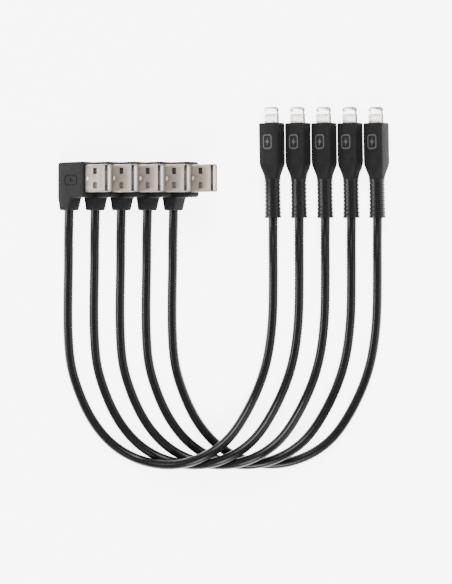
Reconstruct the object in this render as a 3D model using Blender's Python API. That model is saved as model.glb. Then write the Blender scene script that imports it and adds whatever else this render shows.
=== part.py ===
"""Set of five identical charging cables laid side by side, as one ships with a charging cabinet.

Each cable runs from a right-angle USB-A plug, down and round in a U, up to an eight-pin phone plug.
All five lie on one surface at Z = 0. The plugs lean over sideways, and each cable lies across the
ones to its right, so cable 1 is on top and cable 5 underneath.

+X runs along the row of cables, +Y is the way the phone plugs point and +Z is up. The origin is
under the middle of the plugs, on the surface. Lengths are in metres, and MM turns a millimetre
into metres.
"""

from math import cos, pi, radians, sin

import bmesh
import bpy
import numpy as np
from mathutils import Matrix, Vector

MM = 0.001

# The row of cables
CABLES = 5
PLUG_SPACING = 0.51 * MM
USB_PLUG_ROLL = radians(41)
PHONE_PLUG_ROLL = radians(32)
PHONE_PLUG_LEAN = radians(0.9)
GAP = 0.3 * MM
FINE_GAP = 0.12 * MM

# Right-angle overmould of the USB-A plug, in the plug's own plane
MOULD_LENGTH = 15.9 * MM
MOULD_TOP_WALL = 1.4 * MM
MOULD_BOTTOM_WALL = 2.1 * MM
MOULD_FACE_WALL = 1.25 * MM
MOULD_CORNER = 1.5 * MM
MOULD_EDGE = 0.8 * MM
NECK_LENGTH = 5.6 * MM
NECK_ROOT_WIDTH = 8.3 * MM
NECK_END_WIDTH = 5.4 * MM
NECK_CORNER = 0.7 * MM
NECK_FILLET = 1.0 * MM
HEEL_TO_CORD = 3.8 * MM

# USB-A shell and what is inside it
SHELL_WIDTH = 12.0 * MM
SHELL_THICKNESS = 4.5 * MM
SHELL_CORNER = 0.7 * MM
SHELL_WALL = 0.3 * MM
SHELL_EXPOSED = 11.4 * MM
SHELL_BURIED = 7.0 * MM
SHELL_CRIMP = 0.15 * MM
LATCH_HOLE_LENGTH = 2.4 * MM
LATCH_HOLE_WIDTH = 2.7 * MM
LATCH_HOLE_FROM_MOULD = 5.6 * MM
LATCH_HOLE_SPREAD = 6.2 * MM
DIMPLE_RADIUS = 1.25 * MM
DIMPLE_FROM_MOULD = 0.9 * MM
TONGUE_THICKNESS = 1.9 * MM
TONGUE_SETBACK = 0.5 * MM
BLOCK_FRONT_FROM_MOULD = 0.6 * MM
CONTACT_WIDTH = 1.0 * MM
CONTACT_THICKNESS = 0.25 * MM
OUTER_CONTACT_LENGTH = 7.4 * MM
INNER_CONTACT_LENGTH = 6.4 * MM
CONTACT_TIP_SETBACK = 1.3 * MM
CONTACT_OFFSETS = (-3.5 * MM, -1.0 * MM, 1.0 * MM, 3.5 * MM)

# Phone plug
HOUSING_WIDTH = 9.4 * MM
HOUSING_THICKNESS = 7.9 * MM
HOUSING_CORNER = 1.2 * MM
HOUSING_STRAIGHT = 17.0 * MM
HOUSING_TAPER = 7.0 * MM
HOUSING_RIM = 0.5 * MM
SLEEVE_WIDTH = 6.7 * MM
SLEEVE_THICKNESS = 6.5 * MM
SLEEVE_CORNER = 2.9 * MM
SLEEVE_LENGTH = 17.4 * MM
SLEEVE_FLARE = 0.2 * MM
FLARED_RIBS = 3
RIBS = 10
RIB_DEPTH = 0.25 * MM
RIB_LAND = 0.66
TAB_WIDTH = 6.7 * MM
TAB_THICKNESS = 1.5 * MM
TAB_LENGTH = 7.0 * MM
TAB_TIP_CORNER = 1.4 * MM
TAB_TIP_SWEEP = radians(75)
TAB_TIP_THINNING = 0.7
SHANK_SIDE_STEP = 0.35 * MM
SHANK_FACE_STEP = 0.15 * MM
SHANK_LENGTH = 4.0 * MM
DETENT_RADIUS = 0.5 * MM
DETENT_FROM_TIP = 2.4 * MM
WINDOW_RAIL = 0.7 * MM
WINDOW_LENGTH = 3.4 * MM
WINDOW_FROM_TIP = 2.9 * MM
BOARD_SLOT_SIDE_STEP = 0.35 * MM
BOARD_SLOT_WALL = 0.18 * MM
BOARD_LENGTH = 8.0 * MM
CONTACT_PADS = 8
PAD_STEP = 0.12 * MM

# Cord. The route is in the cable's own frame: X across the row, Y along the plugs, with the origin
# on the surface under the middle of the USB plug's neck. Every cable repeats it one pitch along.
CORD_DIAMETER = 4.2 * MM
CORD_POINTS = 33
CORD_ROUTE_MM = (
    (0.0, -0.3),
    (-0.1, -5.0),
    (-0.3, -12.0),
    (-0.4, -22.3),
    (-0.6, -34.3),
    (-0.7, -46.3),
    (-0.4, -57.3),
    (0.8, -68.3),
    (4.0, -79.3),
    (9.3, -90.8),
    (17.15, -101.0),
    (24.5, -106.6),
    (30.85, -109.5),
    (36.8, -111.0),
    (42.75, -111.5),
    (48.7, -111.0),
    (54.55, -109.5),
    (60.8, -106.8),
    (66.0, -103.4),
    (70.7, -99.0),
    (75.3, -92.8),
    (79.6, -85.3),
    (83.9, -75.6),
    (86.8, -65.9),
    (88.5, -55.8),
    (89.4, -44.3),
    (89.6, -33.3),
    (89.6, -22.3),
    (89.5, -13.0),
    (89.5, -8.0),
    (89.5, -3.65),
)
# The cord lies on the surface and climbs to each plug by these shares of the plug's height
USB_CLIMB = (1.0, 0.96, 0.53, 0.06)
PHONE_CLIMB = (0.1, 0.63, 0.94, 1.0)
# Where a cord passes over the cords to its right, these are its heights, in cord diameters
HUMP_START = 11
HIGH_HUMP = (0.52, 0.66, 1.16, 1.80, 2.42, 2.86, 3.00, 2.80, 2.36, 1.70, 1.04, 0.62, 0.51)
LOW_HUMP = (0.52, 0.66, 1.13, 1.53, 1.71, 1.71, 1.58, 1.35, 1.06, 0.78, 0.60, 0.52, 0.50)
HUMPS = (HIGH_HUMP, HIGH_HUMP, HIGH_HUMP, LOW_HUMP, ())

# Facets
CORNER_STEPS = 2
OUTLINE_STEPS = 3
TIP_STEPS = 4

# Sizes that follow
MOULD_HEIGHT = MOULD_BOTTOM_WALL + SHELL_WIDTH + MOULD_TOP_WALL
MOULD_THICKNESS = SHELL_THICKNESS + 2 * MOULD_FACE_WALL
MOULD_FRONT = MOULD_LENGTH - HEEL_TO_CORD
SHELL_MIDDLE = NECK_LENGTH + MOULD_BOTTOM_WALL + SHELL_WIDTH / 2
SHELL_INSIDE_WIDTH = SHELL_WIDTH - 2 * SHELL_WALL - 2 * SHELL_CRIMP
SHELL_INSIDE_THICKNESS = SHELL_THICKNESS - 2 * SHELL_WALL - 2 * SHELL_CRIMP
SHANK_WIDTH = TAB_WIDTH - 2 * SHANK_SIDE_STEP
SHANK_THICKNESS = TAB_THICKNESS - 2 * SHANK_FACE_STEP
WINDOW_WIDTH = TAB_WIDTH - 2 * WINDOW_RAIL
BOARD_SLOT_WIDTH = WINDOW_WIDTH - 2 * BOARD_SLOT_SIDE_STEP
BOARD_SLOT_THICKNESS = SHANK_THICKNESS - 2 * BOARD_SLOT_WALL
HOUSING_LENGTH = HOUSING_STRAIGHT + HOUSING_TAPER
PHONE_PLUG_LENGTH = TAB_LENGTH + HOUSING_LENGTH + GAP + SLEEVE_LENGTH
USB_PITCH = (MOULD_THICKNESS + PLUG_SPACING) / sin(USB_PLUG_ROLL)
PHONE_PITCH = (HOUSING_WIDTH + GAP) / cos(PHONE_PLUG_ROLL)
PITCH = max(USB_PITCH, PHONE_PITCH)
# Each plug's section where it rests: half width, half thickness, corner radius and roll
USB_SECTION = (HEEL_TO_CORD, MOULD_THICKNESS / 2, MOULD_EDGE, USB_PLUG_ROLL)
PHONE_SECTION = (HOUSING_WIDTH / 2, HOUSING_THICKNESS / 2, HOUSING_CORNER, PHONE_PLUG_ROLL)


# ---------------------------------------------------------------- shape helpers


def arc(centre_x, centre_y, radius, start, end, steps):
    """Points along an arc, both ends included."""
    angles = [start + (end - start) * i / steps for i in range(steps + 1)]
    return [(centre_x + radius * cos(a), centre_y + radius * sin(a)) for a in angles]


def rounded_rectangle(width, thickness, corner, steps=CORNER_STEPS):
    """Outline of a rectangle with round corners, centred on the origin, anticlockwise."""
    x = width / 2 - corner
    y = thickness / 2 - corner
    centres = ((x, y), (-x, y), (-x, -y), (x, -y))
    points = []
    for quarter, (centre_x, centre_y) in enumerate(centres):
        start = quarter * pi / 2
        points += arc(centre_x, centre_y, corner, start, start + pi / 2, steps)
    return points


def rounded_outline(corners, steps=OUTLINE_STEPS):
    """Turns (x, y, radius) corners into an outline with an arc of that radius at each corner."""
    points = []
    for i, (x, y, radius) in enumerate(corners):
        here = Vector((x, y))
        back = (Vector(corners[i - 1][:2]) - here).normalized()
        ahead = (Vector(corners[(i + 1) % len(corners)][:2]) - here).normalized()
        half_angle = back.angle(ahead) / 2
        centre = here + (back + ahead).normalized() * radius / sin(half_angle)
        turn = pi - 2 * half_angle
        first = here + back * radius / np.tan(half_angle) - centre
        side = 1 if back.cross(ahead) < 0 else -1
        start = np.arctan2(first.y, first.x)
        points += arc(centre.x, centre.y, radius, start, start + side * turn, steps)
    return points


def loft(name, rings):
    """A closed skin through rings of equally many points, with a flat cap at each end."""
    shape = bmesh.new()
    loops = [[shape.verts.new(point) for point in ring] for ring in rings]
    count = len(loops[0])
    for low, high in zip(loops, loops[1:]):
        for i in range(count):
            j = (i + 1) % count
            shape.faces.new((low[i], low[j], high[j], high[i]))
    shape.faces.new(reversed(loops[0]))
    shape.faces.new(loops[-1])
    return finished(name, shape)


def finished(name, shape):
    """Faces out, stored as a mesh."""
    bmesh.ops.recalc_face_normals(shape, faces=shape.faces)
    mesh = bpy.data.meshes.new(name)
    shape.to_mesh(mesh)
    shape.free()
    return mesh


def along_x(outline, x):
    """An outline as a ring across the X axis."""
    return [(x, a, b) for a, b in outline]


def along_y(outline, y):
    """An outline as a ring across the Y axis."""
    return [(a, y, b) for a, b in outline]


def box(name, size, centre):
    """A plain block."""
    shape = bmesh.new()
    sized = Matrix.Translation(centre) @ Matrix.Diagonal((*size, 1))
    bmesh.ops.create_cube(shape, size=1, matrix=sized)
    return finished(name, shape)


def post(name, radius, length, centre, sides=16):
    """A round bar along Z."""
    shape = bmesh.new()
    bmesh.ops.create_cone(
        shape,
        cap_ends=True,
        segments=sides,
        radius1=radius,
        radius2=radius,
        depth=length,
        matrix=Matrix.Translation(centre),
    )
    return finished(name, shape)


def slab(name, outline, thickness):
    """A flat outline in the XY plane, drawn as a 2D curve and given a thickness about Z = 0."""
    curve = bpy.data.curves.new(name, "CURVE")
    curve.dimensions = "2D"
    curve.fill_mode = "BOTH"
    curve.extrude = thickness / 2
    spline = curve.splines.new("POLY")
    spline.points.add(len(outline) - 1)
    for point, (x, y) in zip(spline.points, outline):
        point.co = (x, y, 0, 1)
    spline.use_cyclic_u = True
    drawn = bpy.data.objects.new(name, curve)
    bpy.context.scene.collection.objects.link(drawn)
    mesh = evaluated_mesh(drawn)
    bpy.data.objects.remove(drawn)
    shape = bmesh.new()
    shape.from_mesh(mesh)
    bmesh.ops.remove_doubles(shape, verts=shape.verts, dist=0.001 * MM)
    bmesh.ops.dissolve_limit(shape, angle_limit=radians(1), verts=shape.verts, edges=shape.edges)
    return finished(name, shape)


def evaluated_mesh(thing):
    """The mesh of an object with its modifiers applied."""
    bpy.context.view_layer.update()
    graph = bpy.context.evaluated_depsgraph_get()
    return bpy.data.meshes.new_from_object(thing.evaluated_get(graph))


def round_rims(mesh, radius):
    """Rounds the sharp edges round a slab's two flat faces."""
    shape = bmesh.new()
    shape.from_mesh(mesh)
    top = max(vertex.co.z for vertex in shape.verts)
    rims = [
        edge
        for edge in shape.edges
        if abs(abs(edge.verts[0].co.z) - top) < 0.001 * MM
        and abs(edge.verts[0].co.z - edge.verts[1].co.z) < 0.001 * MM
    ]
    bmesh.ops.bevel(
        shape, geom=rims, offset=radius, segments=CORNER_STEPS, profile=0.5, affect="EDGES"
    )
    return finished(mesh.name, shape)


def combined(mesh, others, operation="DIFFERENCE"):
    """The mesh with the others cut from it or joined to it, by Boolean modifiers."""
    base = bpy.data.objects.new(mesh.name, mesh)
    bpy.context.scene.collection.objects.link(base)
    helpers = []
    for i, other in enumerate(others):
        helper = bpy.data.objects.new(f"{mesh.name}_cutter_{i + 1}", other)
        helper.hide_render = True
        helper.display_type = "WIRE"
        cutters.objects.link(helper)
        modifier = base.modifiers.new(helper.name, "BOOLEAN")
        modifier.operation = operation
        modifier.object = helper
        helpers.append(helper)
    result = evaluated_mesh(base)
    for thing in (base, *helpers):
        bpy.data.objects.remove(thing)
    return result


# ---------------------------------------------------------------- USB-A plug pieces
# The plug's own frame: X is the way it goes in, Y is up the page of its wide face, Z is across its
# thickness. The origin is where the cord meets the neck.


def shell_outline(outset):
    """The shell's outline, grown by outset all round."""
    corner = max(SHELL_CORNER + outset, 0.2 * MM)
    outline = rounded_rectangle(SHELL_WIDTH + 2 * outset, SHELL_THICKNESS + 2 * outset, corner)
    return [(a + SHELL_MIDDLE, b) for a, b in outline]


def overmould():
    corners = (
        (-NECK_END_WIDTH / 2, 0, NECK_CORNER),
        (NECK_END_WIDTH / 2, 0, NECK_CORNER),
        (NECK_ROOT_WIDTH - HEEL_TO_CORD, NECK_LENGTH, NECK_FILLET),
        (MOULD_FRONT, NECK_LENGTH, MOULD_CORNER),
        (MOULD_FRONT, NECK_LENGTH + MOULD_HEIGHT, MOULD_CORNER),
        (-HEEL_TO_CORD, NECK_LENGTH + MOULD_HEIGHT, MOULD_CORNER),
        (-HEEL_TO_CORD, NECK_LENGTH, MOULD_CORNER),
    )
    body = round_rims(slab("usb_overmould", rounded_outline(corners), MOULD_THICKNESS), MOULD_EDGE)
    socket_depth = SHELL_BURIED + GAP
    socket = loft(
        "socket",
        (
            along_x(shell_outline(GAP), MOULD_FRONT - socket_depth),
            along_x(shell_outline(GAP), MOULD_FRONT + GAP),
        ),
    )
    return combined(body, (socket,))


def shell():
    rear = MOULD_FRONT - SHELL_BURIED
    mouth = MOULD_FRONT + SHELL_EXPOSED
    outside = loft(
        "usb_shell",
        (
            along_x(shell_outline(-SHELL_CRIMP), rear),
            along_x(shell_outline(-SHELL_CRIMP), MOULD_FRONT - SHELL_CRIMP),
            along_x(shell_outline(0), MOULD_FRONT),
            along_x(shell_outline(0), mouth),
        ),
    )
    inside = loft(
        "bore",
        (
            along_x(shell_outline(-SHELL_CRIMP - SHELL_WALL), rear - GAP),
            along_x(shell_outline(-SHELL_CRIMP - SHELL_WALL), mouth + GAP),
        ),
    )
    hole_size = (LATCH_HOLE_LENGTH, LATCH_HOLE_WIDTH, 2 * SHELL_THICKNESS)
    hole_x = MOULD_FRONT + LATCH_HOLE_FROM_MOULD
    holes = [
        box("latch_hole", hole_size, (hole_x, SHELL_MIDDLE + side * LATCH_HOLE_SPREAD / 2, 0))
        for side in (-1, 1)
    ]
    return combined(outside, (inside, *holes, half_round_hole()))


def half_round_hole():
    """The D-shaped window that a holding tab is bent in from, on the wide face above the void."""
    flat_x = MOULD_FRONT + DIMPLE_FROM_MOULD
    outline = arc(flat_x, SHELL_MIDDLE, DIMPLE_RADIUS, -pi / 2, pi / 2, 8)
    mesh = slab("dimple", outline, SHELL_THICKNESS)
    mesh.transform(Matrix.Translation((0, 0, SHELL_THICKNESS / 2 + GAP)))
    return mesh


def tongue():
    """The insulator: a block that fills the back of the shell, with the thin tongue ahead of it."""
    width = SHELL_INSIDE_WIDTH - 2 * FINE_GAP
    floor = -SHELL_INSIDE_THICKNESS / 2 + FINE_GAP
    rear = MOULD_FRONT - SHELL_BURIED + GAP
    block_front = MOULD_FRONT + BLOCK_FRONT_FROM_MOULD
    tip = MOULD_FRONT + SHELL_EXPOSED - TONGUE_SETBACK
    height = SHELL_INSIDE_THICKNESS - 2 * FINE_GAP
    top = floor + TONGUE_THICKNESS
    profile = (
        (rear, floor),
        (tip - FINE_GAP, floor),
        (tip, floor + TONGUE_THICKNESS / 3),
        (tip, top - TONGUE_THICKNESS / 3),
        (tip - TONGUE_THICKNESS / 3, top),
        (block_front, top),
        (block_front, floor + height),
        (rear, floor + height),
    )
    solid = slab("usb_tongue", profile, width)
    solid.transform(Matrix.Translation((0, SHELL_MIDDLE, 0)) @ Matrix.Rotation(pi / 2, 4, "X"))
    grooves = [
        box(
            "groove",
            (
                contact_length(offset) + 2 * FINE_GAP,
                CONTACT_WIDTH + 2 * FINE_GAP,
                2 * (CONTACT_THICKNESS / 2 + FINE_GAP),
            ),
            (contact_middle(offset), SHELL_MIDDLE + offset, top),
        )
        for offset in CONTACT_OFFSETS
    ]
    return combined(solid, grooves)


def contact_length(offset):
    return OUTER_CONTACT_LENGTH if abs(offset) > 2 * MM else INNER_CONTACT_LENGTH


def contact_middle(offset):
    """Both kinds of contact end at the same distance from the block; the outer ones reach further."""
    back = MOULD_FRONT + SHELL_EXPOSED - CONTACT_TIP_SETBACK - OUTER_CONTACT_LENGTH
    return back + contact_length(offset) / 2


def contact(offset):
    floor = -SHELL_INSIDE_THICKNESS / 2 + FINE_GAP
    middle = (contact_middle(offset), SHELL_MIDDLE + offset, floor + TONGUE_THICKNESS)
    size = (contact_length(offset), CONTACT_WIDTH, CONTACT_THICKNESS)
    return box("usb_contact", size, middle)


# ---------------------------------------------------------------- phone plug pieces
# The plug's own frame: Y is the way it goes in, X is across its width and Z across its thickness.
# The origin is where the cord meets the sleeve.


def tab_outline(width, thickness):
    return rounded_rectangle(width, thickness, 0.45 * thickness)


def tab():
    base = SLEEVE_LENGTH + GAP + HOUSING_LENGTH
    tip = base + TAB_LENGTH
    rings = [
        along_y(tab_outline(SHANK_WIDTH, SHANK_THICKNESS), base - SHANK_LENGTH),
        along_y(tab_outline(SHANK_WIDTH, SHANK_THICKNESS), base),
        along_y(tab_outline(TAB_WIDTH, TAB_THICKNESS), base + FINE_GAP),
    ]
    for i in range(TIP_STEPS + 1):
        angle = i / TIP_STEPS * TAB_TIP_SWEEP
        width = TAB_WIDTH - 2 * TAB_TIP_CORNER * (1 - cos(angle))
        y = tip - TAB_TIP_CORNER * (1 - sin(angle) / sin(TAB_TIP_SWEEP))
        thickness = TAB_THICKNESS * (TAB_TIP_THINNING if i == TIP_STEPS else 1)
        rings.append(along_y(tab_outline(width, thickness), y))
    solid = loft("phone_plug_tab", rings)
    window_y = tip - WINDOW_FROM_TIP - WINDOW_LENGTH / 2
    window = box("window", (WINDOW_WIDTH, WINDOW_LENGTH, 2 * TAB_THICKNESS), (0, window_y, 0))
    slot_length = SHANK_LENGTH + TAB_LENGTH - WINDOW_FROM_TIP - WINDOW_LENGTH / 2
    slot_size = (BOARD_SLOT_WIDTH, 2 * slot_length, BOARD_SLOT_THICKNESS)
    slot = box("slot", slot_size, (0, base - SHANK_LENGTH, 0))
    detent_y = tip - DETENT_FROM_TIP
    detents = [
        post("detent", DETENT_RADIUS, 2 * TAB_THICKNESS, (side * TAB_WIDTH / 2, detent_y, 0))
        for side in (-1, 1)
    ]
    return combined(solid, (window, slot, *detents))


def contact_block():
    """Board and contacts in one moulding: eight pads a side in the window, and a tail behind."""
    base = SLEEVE_LENGTH + GAP + HOUSING_LENGTH
    width = WINDOW_WIDTH - 2 * FINE_GAP
    length = WINDOW_LENGTH - 2 * FINE_GAP
    thickness = TAB_THICKNESS - 2 * FINE_GAP
    middle_y = base + TAB_LENGTH - WINDOW_FROM_TIP - WINDOW_LENGTH / 2
    head = box("phone_plug_contacts", (width, length, thickness), (0, middle_y, 0))
    tail_back = base - BOARD_LENGTH
    tail_width = BOARD_SLOT_WIDTH - 2 * FINE_GAP
    tail_thickness = BOARD_SLOT_THICKNESS - 2 * FINE_GAP
    tail_size = (tail_width, middle_y - tail_back, tail_thickness)
    tail = box("tail", tail_size, (0, (middle_y + tail_back) / 2, 0))
    pad = width / (2 * CONTACT_PADS - 1)
    gap_size = (pad, length + 2 * GAP, 2 * PAD_STEP)
    gaps = [
        box("pad_gap", gap_size, (-width / 2 + (2 * i + 1.5) * pad, middle_y, side * thickness / 2))
        for i in range(CONTACT_PADS - 1)
        for side in (-1, 1)
    ]
    return combined(combined(head, (tail,), "UNION"), gaps)


def housing():
    front = SLEEVE_LENGTH + GAP + HOUSING_LENGTH
    back = SLEEVE_LENGTH + GAP
    shoulder = front - HOUSING_STRAIGHT
    rings = []
    for share in (0, 0.15, 0.35, 0.6, 0.82, 1):
        ease = share * share * (3 - 2 * share)
        width = SLEEVE_WIDTH + (HOUSING_WIDTH - SLEEVE_WIDTH) * ease
        thickness = SLEEVE_THICKNESS + (HOUSING_THICKNESS - SLEEVE_THICKNESS) * ease
        corner = SLEEVE_CORNER + (HOUSING_CORNER - SLEEVE_CORNER) * ease
        y = back + (shoulder - back) * share
        rings.append(along_y(rounded_rectangle(width, thickness, corner), y))
    for angle in (0, pi / 4, pi / 2):
        inset = HOUSING_RIM * (1 - cos(angle))
        y = front - HOUSING_RIM * (1 - sin(angle))
        outline = rounded_rectangle(
            HOUSING_WIDTH - 2 * inset, HOUSING_THICKNESS - 2 * inset, HOUSING_CORNER - inset
        )
        rings.append(along_y(outline, y))
    solid = loft("phone_plug_housing", rings)
    depth = BOARD_LENGTH + GAP
    size = (SHANK_WIDTH + 2 * GAP, 2 * depth, SHANK_THICKNESS + 2 * GAP)
    return combined(solid, (box("pocket", size, (0, front, 0)),))


def sleeve():
    """Ribbed strain relief: raised bands with grooves between them, flared where the cord goes in."""
    rib = SLEEVE_LENGTH / RIBS
    rings = []
    for i in range(RIBS):
        start = i * rib
        flare = SLEEVE_FLARE * max(0, 1 - i / FLARED_RIBS)
        for y, inset in (
            (start, 0),
            (start + RIB_LAND * rib, 0),
            (start + (0.5 + RIB_LAND / 2) * rib, RIB_DEPTH),
        ):
            grow = flare - inset
            outline = rounded_rectangle(
                SLEEVE_WIDTH + 2 * grow, SLEEVE_THICKNESS + 2 * grow, SLEEVE_CORNER + grow
            )
            rings.append(along_y(outline, y))
    top = rounded_rectangle(SLEEVE_WIDTH, SLEEVE_THICKNESS, SLEEVE_CORNER)
    rings[-1] = along_y(top, SLEEVE_LENGTH)
    return loft("strain_relief", rings)


# ---------------------------------------------------------------- cord


def smooth_curve(points, count):
    """Evenly spread points on the natural cubic spline through the given ones."""
    points = np.array(points, float)
    steps = np.linalg.norm(np.diff(points, axis=0), axis=1)
    along = np.concatenate([[0], np.cumsum(steps)])
    size = len(points)
    matrix = np.eye(size)
    right = np.zeros((size, 3))
    for i in range(1, size - 1):
        before, after = steps[i - 1], steps[i]
        matrix[i, i - 1 : i + 2] = before, 2 * (before + after), after
        slopes = (points[i + 1] - points[i]) / after - (points[i] - points[i - 1]) / before
        right[i] = 6 * slopes
    bends = np.linalg.solve(matrix, right)
    at = np.linspace(0, along[-1], count)
    piece = np.clip(np.searchsorted(along, at, side="right") - 1, 0, size - 2)
    length = steps[piece][:, None]
    ahead = (along[piece + 1] - at)[:, None]
    behind = (at - along[piece])[:, None]
    bend = (bends[piece] * ahead**3 + bends[piece + 1] * behind**3) / (6 * length)
    start = (points[piece] / length - bends[piece] * length / 6) * ahead
    end = (points[piece + 1] / length - bends[piece + 1] * length / 6) * behind
    return bend + start + end


def cord_route(index, usb_height, phone_height):
    """The route of one cable's cord in the cable's own frame."""
    resting = CORD_DIAMETER / 2
    heights = [resting] * len(CORD_ROUTE_MM)
    for i, share in enumerate(USB_CLIMB):
        heights[i] += share * (usb_height - resting)
    for i, share in enumerate(reversed(PHONE_CLIMB)):
        heights[-1 - i] += share * (phone_height - resting)
    for i, diameters in enumerate(HUMPS[index]):
        heights[HUMP_START + i] = diameters * CORD_DIAMETER
    return [(x * MM, y * MM, height) for (x, y), height in zip(CORD_ROUTE_MM, heights)]


def cord_curve(name, route):
    """A tube along the route, which dips no lower than the surface."""
    curve = bpy.data.curves.new(name, "CURVE")
    curve.dimensions = "3D"
    curve.bevel_depth = CORD_DIAMETER / 2
    curve.bevel_resolution = 2
    curve.use_fill_caps = True
    spline = curve.splines.new("POLY")
    points = smooth_curve(route, CORD_POINTS)
    spline.points.add(len(points) - 1)
    for point, (x, y, z) in zip(spline.points, points):
        point.co = (x, y, max(z, CORD_DIAMETER / 2), 1)
    return curve


# ---------------------------------------------------------------- materials and assembly


def material(name, colour, roughness, metallic=0.0):
    made = bpy.data.materials.new(name)
    made.use_nodes = True
    shader = made.node_tree.nodes["Principled BSDF"]
    shader.inputs["Base Color"].default_value = (*colour, 1)
    shader.inputs["Roughness"].default_value = roughness
    shader.inputs["Metallic"].default_value = metallic
    return made


def place(name, shape, parent, finish):
    """One named piece, in its plug's frame."""
    piece = bpy.data.objects.new(name, shape)
    piece.parent = parent
    if not shape.materials:
        shape.materials.append(finish)
    if isinstance(shape, bpy.types.Mesh):
        shape.shade_smooth()
        shape.set_sharp_from_angle(angle=radians(30))
    parts.objects.link(piece)


def frame_at(name, location, rotation, parent=None):
    empty = bpy.data.objects.new(name, None)
    empty.location = location
    empty.rotation_euler = rotation
    empty.parent = parent
    parts.objects.link(empty)
    return empty


def standing_height(half_width, half_thickness, corner, roll):
    """Height of a rounded bar's middle above the surface that it lies rolled on."""
    return (half_width - corner) * sin(roll) + (half_thickness - corner) * cos(roll) + corner


def reach(half_width, half_thickness, corner, roll):
    """Half the plan width of a rounded bar that lies rolled."""
    return (half_width - corner) * cos(roll) + (half_thickness - corner) * sin(roll) + corner


def row_corner():
    """Where the first cable's frame stands, so that the plugs' box is centred on the origin."""
    left = reach(*USB_SECTION)
    right = reach(*PHONE_SECTION)
    end_x, end_y = CORD_ROUTE_MM[-1]
    last_plug = (CABLES - 1) * PITCH + end_x * MM
    sleeve_end = end_y * MM + GAP
    return (left - right - last_plug) / 2, -sleeve_end - PHONE_PLUG_LENGTH / 2


def build_cable(index, row_x, row_y):
    name = f"cable_{index + 1}"
    cable = frame_at(name, (row_x + index * PITCH, row_y, 0), (0, 0, 0))
    usb_height = standing_height(*USB_SECTION)
    phone_height = standing_height(*PHONE_SECTION)
    usb = frame_at(f"{name}_usb_plug", (0, 0, usb_height), (0, -USB_PLUG_ROLL, 0), cable)
    place(f"{name}_usb_overmould", usb_overmould, usb, black)
    place(f"{name}_usb_shell", usb_shell, usb, nickel)
    place(f"{name}_usb_tongue", usb_tongue, usb, white)
    for i, shape in enumerate(usb_contacts):
        place(f"{name}_usb_contact_{i + 1}", shape, usb, gold)
    route = cord_route(index, usb_height, phone_height)
    place(f"{name}_cord", cord_curve(f"{name}_cord", route), cable, jacket)
    end_x, end_y, end_z = route[-1]
    sleeve_end = (end_x, end_y + GAP, end_z)
    turn = (0, -PHONE_PLUG_ROLL, PHONE_PLUG_LEAN)
    phone = frame_at(f"{name}_phone_plug", sleeve_end, turn, cable)
    place(f"{name}_strain_relief", strain_relief, phone, black)
    place(f"{name}_phone_plug_housing", plug_housing, phone, black)
    place(f"{name}_phone_plug_tab", plug_tab, phone, bright_nickel)
    place(f"{name}_phone_plug_contacts", plug_contacts, phone, gold)


for old in list(bpy.data.objects):
    bpy.data.objects.remove(old)
parts = bpy.data.collections.new("charging_cable_set")
cutters = bpy.data.collections.new("cutters")
cutters.hide_render = True
bpy.context.scene.collection.children.link(parts)
bpy.context.scene.collection.children.link(cutters)

black = material("black_plastic", (0.035, 0.035, 0.036), 0.55)
jacket = material("black_jacket", (0.03, 0.03, 0.031), 0.45)
nickel = material("nickel_plated_steel", (0.56, 0.52, 0.49), 0.3, 1.0)
bright_nickel = material("bright_nickel", (0.8, 0.78, 0.76), 0.22, 1.0)
white = material("white_plastic", (0.85, 0.84, 0.82), 0.4)
gold = material("gold_contact", (0.83, 0.61, 0.25), 0.3, 1.0)

usb_overmould = overmould()
usb_shell = shell()
usb_tongue = tongue()
usb_contacts = [contact(offset) for offset in CONTACT_OFFSETS]
strain_relief = sleeve()
plug_housing = housing()
plug_tab = tab()
plug_contacts = contact_block()

first_x, first_y = row_corner()
for number in range(CABLES):
    build_cable(number, first_x, first_y)
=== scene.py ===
"""Looks of the charging cable set: five black cables, each a right-angle USB-A plug and a phone plug.

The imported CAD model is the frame. Each plug's pieces are modelled once, in the plug's own frame, and
placed on every cable. Lengths are in metres, and MM turns a millimetre into metres.
"""

from math import cos, pi, radians, sin, tan

import bmesh
import bpy
import numpy as np
from mathutils import Matrix, Vector


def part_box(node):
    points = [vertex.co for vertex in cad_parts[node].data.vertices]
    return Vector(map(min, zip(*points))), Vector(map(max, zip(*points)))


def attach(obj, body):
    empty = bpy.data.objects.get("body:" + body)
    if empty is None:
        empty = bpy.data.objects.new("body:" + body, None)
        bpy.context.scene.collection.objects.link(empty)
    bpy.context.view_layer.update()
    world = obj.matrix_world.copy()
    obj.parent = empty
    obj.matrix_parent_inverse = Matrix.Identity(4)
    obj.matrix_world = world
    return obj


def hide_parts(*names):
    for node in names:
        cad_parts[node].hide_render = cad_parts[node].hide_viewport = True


MM = 0.001

# ---------------------------------------------------------------- sizes, the same as the CAD model's

CABLES = 5
USB_PLUG_ROLL = radians(41)
PHONE_PLUG_ROLL = radians(32)
PHONE_PLUG_LEAN = radians(0.9)
GAP = 0.3 * MM

# USB-A plug
MOULD_LENGTH = 15.9 * MM
MOULD_THICKNESS = 7.0 * MM
MOULD_TOP_WALL = 1.4 * MM
MOULD_BOTTOM_WALL = 2.1 * MM
MOULD_CORNER = 1.5 * MM
MOULD_EDGE = 0.8 * MM
NECK_LENGTH = 5.6 * MM
NECK_ROOT_WIDTH = 8.3 * MM
NECK_END_WIDTH = 5.4 * MM
NECK_CORNER = 0.7 * MM
NECK_FILLET = 1.0 * MM
HEEL_TO_CORD = 3.8 * MM
MOULD_FRONT = MOULD_LENGTH - HEEL_TO_CORD
SHELL_WIDTH = 12.0 * MM
MOULD_TOP = NECK_LENGTH + MOULD_BOTTOM_WALL + SHELL_WIDTH + MOULD_TOP_WALL
SHELL_MIDDLE = NECK_LENGTH + MOULD_BOTTOM_WALL + SHELL_WIDTH / 2
SHELL_THICKNESS = 4.5 * MM
SHELL_WALL = 0.3 * MM
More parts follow.
